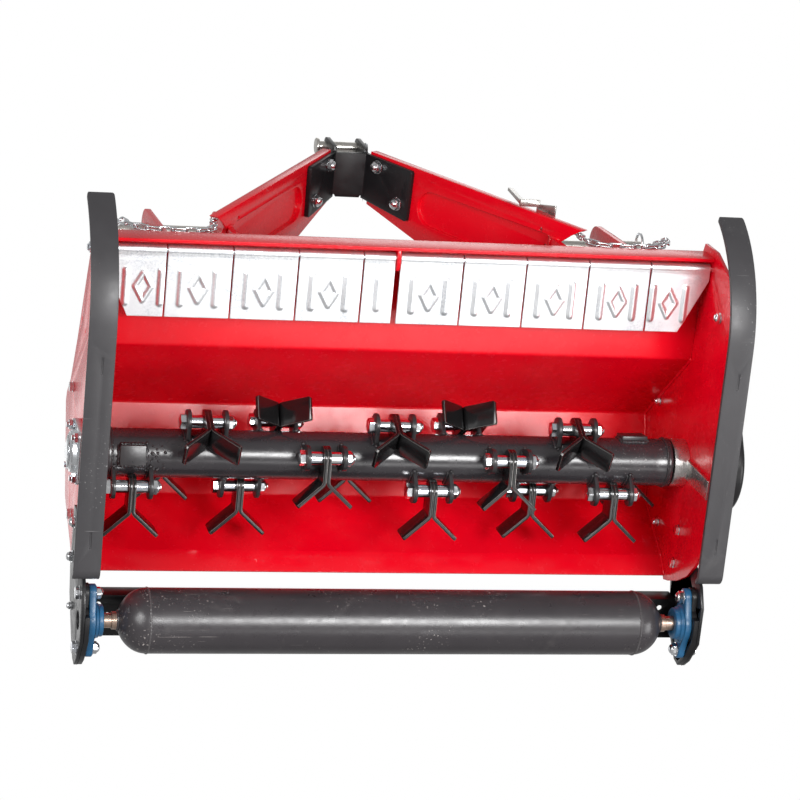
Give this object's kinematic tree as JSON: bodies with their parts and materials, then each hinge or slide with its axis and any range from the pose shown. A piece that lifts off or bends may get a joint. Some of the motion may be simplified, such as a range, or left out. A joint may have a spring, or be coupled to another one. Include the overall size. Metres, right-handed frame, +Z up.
{
  "type": "flail mower",
  "caption": "Tractor-mounted flail mower: hooded rotor with swinging Y knives, hinged front flaps, skids, rear roller, belt side drive and three-point hitch frame.",
  "frame": {"origin": "on the ground, midway between the extremes of the machine's length and width, under the housing", "axes": "+Z up in working stance, -Y towards the tractor (hitch and flaps), +Y to the rear roller, +X to the belt drive side"},
  "size_m": [1.1712, 0.795, 0.78],
  "materials": {
    "red_paint": "gloss powder coat, folded and welded sheet",
    "black_paint": "satin black coat",
    "rotor_paint": "satin charcoal coat with weld scale",
    "skid_paint": "charcoal coat, scuffed on the sole",
    "knife_steel": "gloss black forged bars, bright ground edges",
    "zinc": "bright zinc plating",
    "galvanised": "galvanised sheet",
    "bare_steel": "turned steel",
    "blue_cast": "blue coat over cast iron",
    "cast_grey": "painted casting",
    "belt_rubber": "moulded rubber",
    "black_plastic": "moulded guard"
  },
  "bodies": {
    "mower_frame": {"hood_shell": "red_paint", "side_plate_left": "red_paint", "side_plate_right": "red_paint", "front_beam": "red_paint", "flap_rod": "zinc", "skid_left": "skid_paint", "skid_right": "skid_paint", "roller_bracket_left": "black_paint", "roller_bracket_right": "black_paint", "roller_bearings": "blue_cast", "scraper_bar": "black_paint", "rotor_bearings": "bare_steel", "rotor_collars": "bare_steel", "v_belts": "belt_rubber", "belt_guard": "black_paint", "gearbox": "cast_grey", "pto_guard": "black_plastic", "cross_tube": "red_paint", "a_frame_left": "red_paint", "a_frame_right": "red_paint", "top_link_bracket": "black_paint", "hitch_ears": "red_paint", "hitch_pins": "bare_steel", "safety_chains": "zinc", "pto_hook": "bare_steel", "fasteners": "zinc"},
    "rotor_assembly": {"rotor": "rotor_paint", "knife_bolts": "zinc", "rotor_pulley": "cast_grey"},
    "roller": {"rear_roller": "rotor_paint"},
    "cross_drive": {"cross_shaft": "bare_steel", "drive_pulley": "cast_grey"},
    "pto_input": {"pto_shaft": "bare_steel"},
    "tensioner": {"idler_arm": "bare_steel"},
    "tensioner_wheel": {"idler_wheel": "bare_steel"},
    "flap_01_body": {"flap_01": "galvanised"},
    "flap_02_body": {"flap_02": "galvanised"},
    "flap_03_body": {"flap_03": "galvanised"},
    "flap_04_body": {"flap_04": "galvanised"},
    "flap_05_body": {"flap_05": "galvanised"},
    "flap_06_body": {"flap_06": "galvanised"},
    "flap_07_body": {"flap_07": "galvanised"},
    "flap_08_body": {"flap_08": "galvanised"},
    "flap_09_body": {"flap_09": "galvanised"},
    "flap_10_body": {"flap_10": "galvanised"},
    "knives_01_body": {"knives_01": "knife_steel"},
    "knives_02_body": {"knives_02": "knife_steel"},
    "knives_03_body": {"knives_03": "knife_steel"},
    "knives_04_body": {"knives_04": "knife_steel"},
    "knives_05_body": {"knives_05": "knife_steel"},
    "knives_06_body": {"knives_06": "knife_steel"},
    "knives_07_body": {"knives_07": "knife_steel"},
    "knives_08_body": {"knives_08": "knife_steel"},
    "knives_09_body": {"knives_09": "knife_steel"},
    "knives_10_body": {"knives_10": "knife_steel"},
    "knives_11_body": {"knives_11": "knife_steel"},
    "knives_12_body": {"knives_12": "knife_steel"},
    "knives_13_body": {"knives_13": "knife_steel"},
    "knives_14_body": {"knives_14": "knife_steel"},
    "knives_15_body": {"knives_15": "knife_steel"}
  },
  "joints": [
    {"name": "rotor_spin", "type": "hinge", "parent": "mower_frame", "child": "rotor_assembly", "pos_m": [-0.02738, 0.0595, 0.181], "axis": [1, 0, 0], "continuous": true},
    {"name": "cross_shaft_spin", "type": "hinge", "parent": "mower_frame", "child": "cross_drive", "pos_m": [0.27263, -0.1405, 0.332], "axis": [1, 0, 0], "continuous": true},
    {"name": "pto_spin", "type": "hinge", "parent": "mower_frame", "child": "pto_input", "pos_m": [-0.02738, -0.2165, 0.332], "axis": [0, 1, 0], "continuous": true},
    {"name": "roller_spin", "type": "hinge", "parent": "mower_frame", "child": "roller", "pos_m": [-0.02738, 0.3115, 0.056], "axis": [1, 0, 0], "continuous": true},
    {"name": "tensioner_swing", "type": "hinge", "parent": "mower_frame", "child": "tensioner", "pos_m": [0.57163, -0.0125, 0.292], "axis": [1, 0, 0], "range_deg": [0, 10]},
    {"name": "tensioner_wheel_spin", "type": "hinge", "parent": "tensioner", "child": "tensioner_wheel", "pos_m": [0.55363, -0.0505, 0.222], "axis": [1, 0, 0], "continuous": true},
    {"name": "flap_01_hinge", "type": "hinge", "parent": "mower_frame", "child": "flap_01_body", "pos_m": [-0.02738, -0.2965, 0.165], "axis": [1, 0, 0], "range_deg": [-104, 11]},
    {"name": "flap_02_hinge", "type": "hinge", "parent": "mower_frame", "child": "flap_02_body", "pos_m": [-0.02738, -0.2965, 0.165], "axis": [1, 0, 0], "range_deg": [-104, 11]},
    {"name": "flap_03_hinge", "type": "hinge", "parent": "mower_frame", "child": "flap_03_body", "pos_m": [-0.02738, -0.2965, 0.165], "axis": [1, 0, 0], "range_deg": [-104, 11]},
    {"name": "flap_04_hinge", "type": "hinge", "parent": "mower_frame", "child": "flap_04_body", "pos_m": [-0.02738, -0.2965, 0.165], "axis": [1, 0, 0], "range_deg": [-104, 11]},
    {"name": "flap_05_hinge", "type": "hinge", "parent": "mower_frame", "child": "flap_05_body", "pos_m": [-0.02738, -0.2965, 0.165], "axis": [1, 0, 0], "range_deg": [-104, 11]},
    {"name": "flap_06_hinge", "type": "hinge", "parent": "mower_frame", "child": "flap_06_body", "pos_m": [-0.02738, -0.2965, 0.165], "axis": [1, 0, 0], "range_deg": [-104, 11]},
    {"name": "flap_07_hinge", "type": "hinge", "parent": "mower_frame", "child": "flap_07_body", "pos_m": [-0.02738, -0.2965, 0.165], "axis": [1, 0, 0], "range_deg": [-104, 11]},
    {"name": "flap_08_hinge", "type": "hinge", "parent": "mower_frame", "child": "flap_08_body", "pos_m": [-0.02738, -0.2965, 0.165], "axis": [1, 0, 0], "range_deg": [-104, 11]},
    {"name": "flap_09_hinge", "type": "hinge", "parent": "mower_frame", "child": "flap_09_body", "pos_m": [-0.02738, -0.2965, 0.165], "axis": [1, 0, 0], "range_deg": [-104, 11]},
    {"name": "flap_10_hinge", "type": "hinge", "parent": "mower_frame", "child": "flap_10_body", "pos_m": [-0.02738, -0.2965, 0.165], "axis": [1, 0, 0], "range_deg": [-104, 11]},
    {"name": "knives_01_swing", "type": "hinge", "parent": "rotor_assembly", "child": "knives_01_body", "pos_m": [-0.47887, 0.1044, 0.1361], "axis": [1, 0, 0], "range_deg": [-135, 56]},
    {"name": "knives_02_swing", "type": "hinge", "parent": "rotor_assembly", "child": "knives_02_body", "pos_m": [-0.41437, 0.07594, 0.24234], "axis": [1, 0, 0], "range_deg": [-26, 176]},
    {"name": "knives_03_swing", "type": "hinge", "parent": "rotor_assembly", "child": "knives_03_body", "pos_m": [-0.35487, -0.00184, 0.16456], "axis": [1, 0, 0], "range_deg": [-202, 0]},
    {"name": "knives_04_swing", "type": "hinge", "parent": "rotor_assembly", "child": "knives_04_body", "pos_m": [-0.28537, 0.12084, 0.19743], "axis": [1, 0, 0], "range_deg": [-86, 116]},
    {"name": "knives_05_swing", "type": "hinge", "parent": "rotor_assembly", "child": "knives_05_body", "pos_m": [-0.22587, 0.0146, 0.2259], "axis": [1, 0, 0], "range_deg": [-201, 1]},
    {"name": "knives_06_swing", "type": "hinge", "parent": "rotor_assembly", "child": "knives_06_body", "pos_m": [-0.15637, 0.04306, 0.11966], "axis": [1, 0, 0], "range_deg": [-177, 0]},
    {"name": "knives_07_swing", "type": "hinge", "parent": "rotor_assembly", "child": "knives_07_body", "pos_m": [-0.09187, 0.07594, 0.24234], "axis": [1, 0, 0], "range_deg": [-26, 176]},
    {"name": "knives_08_swing", "type": "hinge", "parent": "rotor_assembly", "child": "knives_08_body", "pos_m": [-0.03238, -0.00184, 0.16456], "axis": [1, 0, 0], "range_deg": [-202, 0]},
    {"name": "knives_09_swing", "type": "hinge", "parent": "rotor_assembly", "child": "knives_09_body", "pos_m": [0.03712, 0.1044, 0.1361], "axis": [1, 0, 0], "range_deg": [-121, 56]},
    {"name": "knives_10_swing", "type": "hinge", "parent": "rotor_assembly", "child": "knives_10_body", "pos_m": [0.09663, 0.0146, 0.2259], "axis": [1, 0, 0], "range_deg": [-201, 1]},
    {"name": "knives_11_swing", "type": "hinge", "parent": "rotor_assembly", "child": "knives_11_body", "pos_m": [0.16612, 0.04306, 0.11966], "axis": [1, 0, 0], "range_deg": [-177, 0]},
    {"name": "knives_12_swing", "type": "hinge", "parent": "rotor_assembly", "child": "knives_12_body", "pos_m": [0.23062, 0.12084, 0.19743], "axis": [1, 0, 0], "range_deg": [-61, 116]},
    {"name": "knives_13_swing", "type": "hinge", "parent": "rotor_assembly", "child": "knives_13_body", "pos_m": [0.29013, -0.00184, 0.16456], "axis": [1, 0, 0], "range_deg": [-202, 0]},
    {"name": "knives_14_swing", "type": "hinge", "parent": "rotor_assembly", "child": "knives_14_body", "pos_m": [0.35962, 0.1044, 0.1361], "axis": [1, 0, 0], "range_deg": [-121, 56]},
    {"name": "knives_15_swing", "type": "hinge", "parent": "rotor_assembly", "child": "knives_15_body", "pos_m": [0.42412, 0.07594, 0.24234], "axis": [1, 0, 0], "range_deg": [-26, 176]}
  ],
  "couplings": [
    {"joint": "cross_shaft_spin", "follows": "rotor_spin", "ratio": 0.7879},
    {"joint": "pto_spin", "follows": "rotor_spin", "ratio": -0.2784},
    {"joint": "tensioner_wheel_spin", "follows": "rotor_spin", "ratio": 2.4762}
  ]
}
